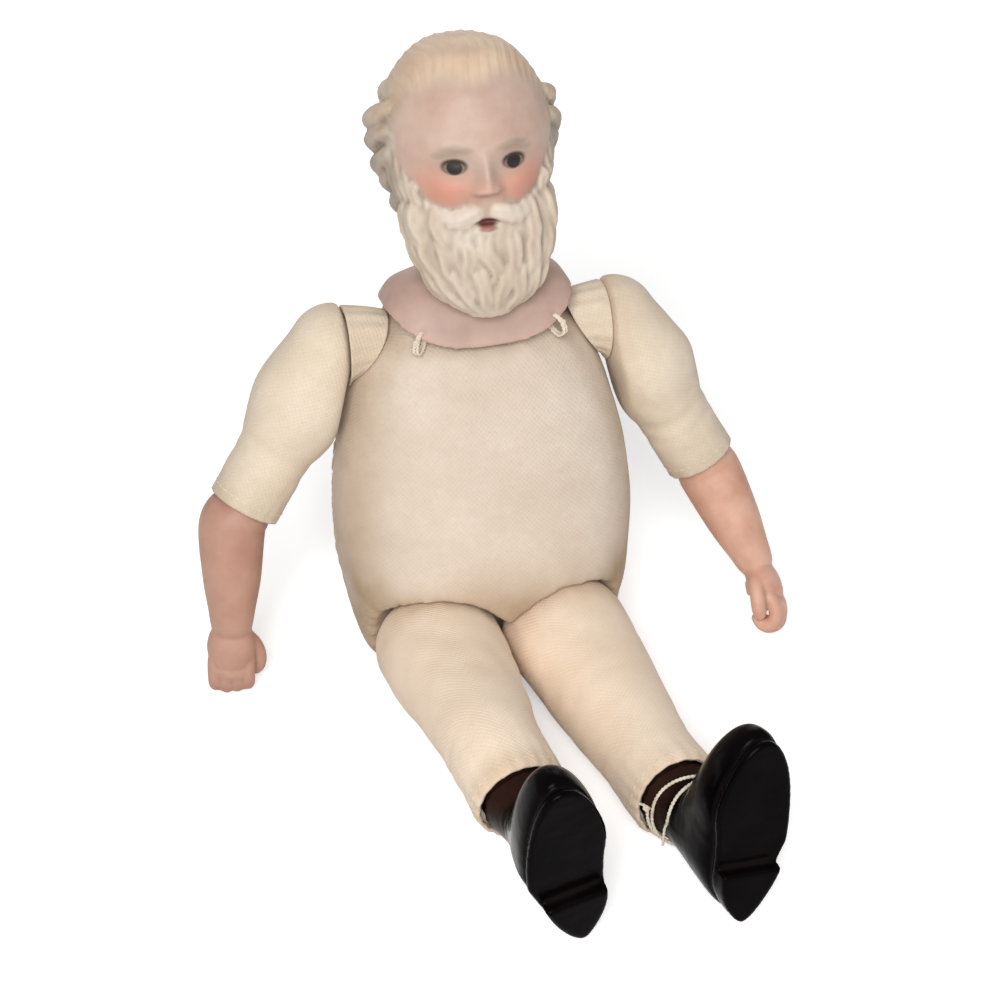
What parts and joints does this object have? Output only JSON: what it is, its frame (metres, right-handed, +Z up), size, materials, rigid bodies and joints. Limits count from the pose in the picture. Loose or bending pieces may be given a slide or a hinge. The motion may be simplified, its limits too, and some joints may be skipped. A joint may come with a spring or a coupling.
{
  "type": "bisque shoulder-head doll",
  "caption": "Seated bearded bisque doll with a stuffed muslin body, shoulder head, bisque forearms with closed hands, and glazed black boots tied to the legs.",
  "frame": {"origin": "on the floor under the flat seat of the body, in the middle of its width", "axes": "+Z up; the doll faces -Y; its own left hand is at +X"},
  "size_m": [0.186, 0.1997, 0.1984],
  "materials": {
    "head_bisque": "matt unglazed bisque porcelain, tinted and painted",
    "flesh_bisque": "matt flesh-tinted bisque porcelain",
    "boot_glaze": "gloss black glaze over bisque porcelain, thin and brown at the rim",
    "body_muslin": "plain-woven muslin, matt, slightly aged",
    "arm_muslin": "plain-woven muslin, matt, cream",
    "leg_muslin": "plain-woven muslin, matt, peach cream",
    "wadding": "loose cotton wadding",
    "thread": "twisted cotton thread"
  },
  "bodies": {
    "torso": {"shoulder_head": "head_bisque", "plate_stitch_front_right": "thread", "plate_stitch_front_left": "thread", "plate_stitch_back_right": "thread", "plate_stitch_back_left": "thread", "body_front_panel": "body_muslin", "body_back_panel": "body_muslin", "body_stuffing": "wadding"},
    "arm_seam_right": {"arm_seam_right": "arm_muslin"},
    "upper_arm_right": {"upper_arm_cover_right": "arm_muslin", "upper_arm_stuffing_right": "wadding"},
    "forearm_right": {"arm_cuff_right": "arm_muslin", "forearm_right": "flesh_bisque", "forearm_tie_right": "thread"},
    "thigh_right": {"thigh_cover_right": "leg_muslin", "thigh_stuffing_right": "wadding"},
    "boot_right": {"leg_cuff_right": "leg_muslin", "boot_right": "boot_glaze", "boot_tie_right": "thread"},
    "arm_seam_left": {"arm_seam_left": "arm_muslin"},
    "upper_arm_left": {"upper_arm_cover_left": "arm_muslin", "upper_arm_stuffing_left": "wadding"},
    "forearm_left": {"arm_cuff_left": "arm_muslin", "forearm_left": "flesh_bisque", "forearm_tie_left": "thread"},
    "thigh_left": {"thigh_cover_left": "leg_muslin", "thigh_stuffing_left": "wadding"},
    "boot_left": {"leg_cuff_left": "leg_muslin", "boot_left": "boot_glaze", "boot_tie_left": "thread", "boot_lace_left": "thread"}
  },
  "joints": [
    {"name": "arm_lift_right", "type": "hinge", "parent": "torso", "child": "arm_seam_right", "pos_m": [-0.03367, 0.0149, 0.1195], "axis": [0, 1, 0], "range_deg": [0, 50]},
    {"name": "arm_swing_right", "type": "hinge", "parent": "arm_seam_right", "child": "upper_arm_right", "pos_m": [-0.04387, 0.0149, 0.106], "axis": [-1, 0, 0], "range_deg": [-35, 90]},
    {"name": "elbow_right", "type": "hinge", "parent": "upper_arm_right", "child": "forearm_right", "pos_m": [-0.06457, 0.00936, 0.07461], "axis": [-0.8387, 0.0946, 0.5364], "range_deg": [-12, 32]},
    {"name": "hip_right", "type": "hinge", "parent": "torso", "child": "thigh_right", "pos_m": [-0.02008, -0.021, 0.0176], "axis": [-0.9996, -0.0279, 0], "range_deg": [-85, 4]},
    {"name": "knee_right", "type": "hinge", "parent": "thigh_right", "child": "boot_right", "pos_m": [-0.01822, -0.08757, 0.02499], "axis": [0.9888, 0.1477, 0.0212], "range_deg": [-12, 35]},
    {"name": "arm_lift_left", "type": "hinge", "parent": "torso", "child": "arm_seam_left", "pos_m": [0.03367, 0.0149, 0.1195], "axis": [0, -1, 0], "range_deg": [0, 50]},
    {"name": "arm_swing_left", "type": "hinge", "parent": "arm_seam_left", "child": "upper_arm_left", "pos_m": [0.04387, 0.0149, 0.106], "axis": [-1, 0, 0], "range_deg": [-35, 90]},
    {"name": "elbow_left", "type": "hinge", "parent": "upper_arm_left", "child": "forearm_left", "pos_m": [0.06259, 0.00972, 0.07333], "axis": [-0.8704, -0.077, -0.4864], "range_deg": [-12, 32]},
    {"name": "hip_left", "type": "hinge", "parent": "torso", "child": "thigh_left", "pos_m": [0.02008, -0.021, 0.0176], "axis": [-0.9945, -0.1045, 0], "range_deg": [-85, 4]},
    {"name": "knee_left", "type": "hinge", "parent": "thigh_left", "child": "boot_left", "pos_m": [0.02708, -0.08756, 0.0144], "axis": [0.9848, 0.1736, 0], "range_deg": [-12, 35]}
  ]
}
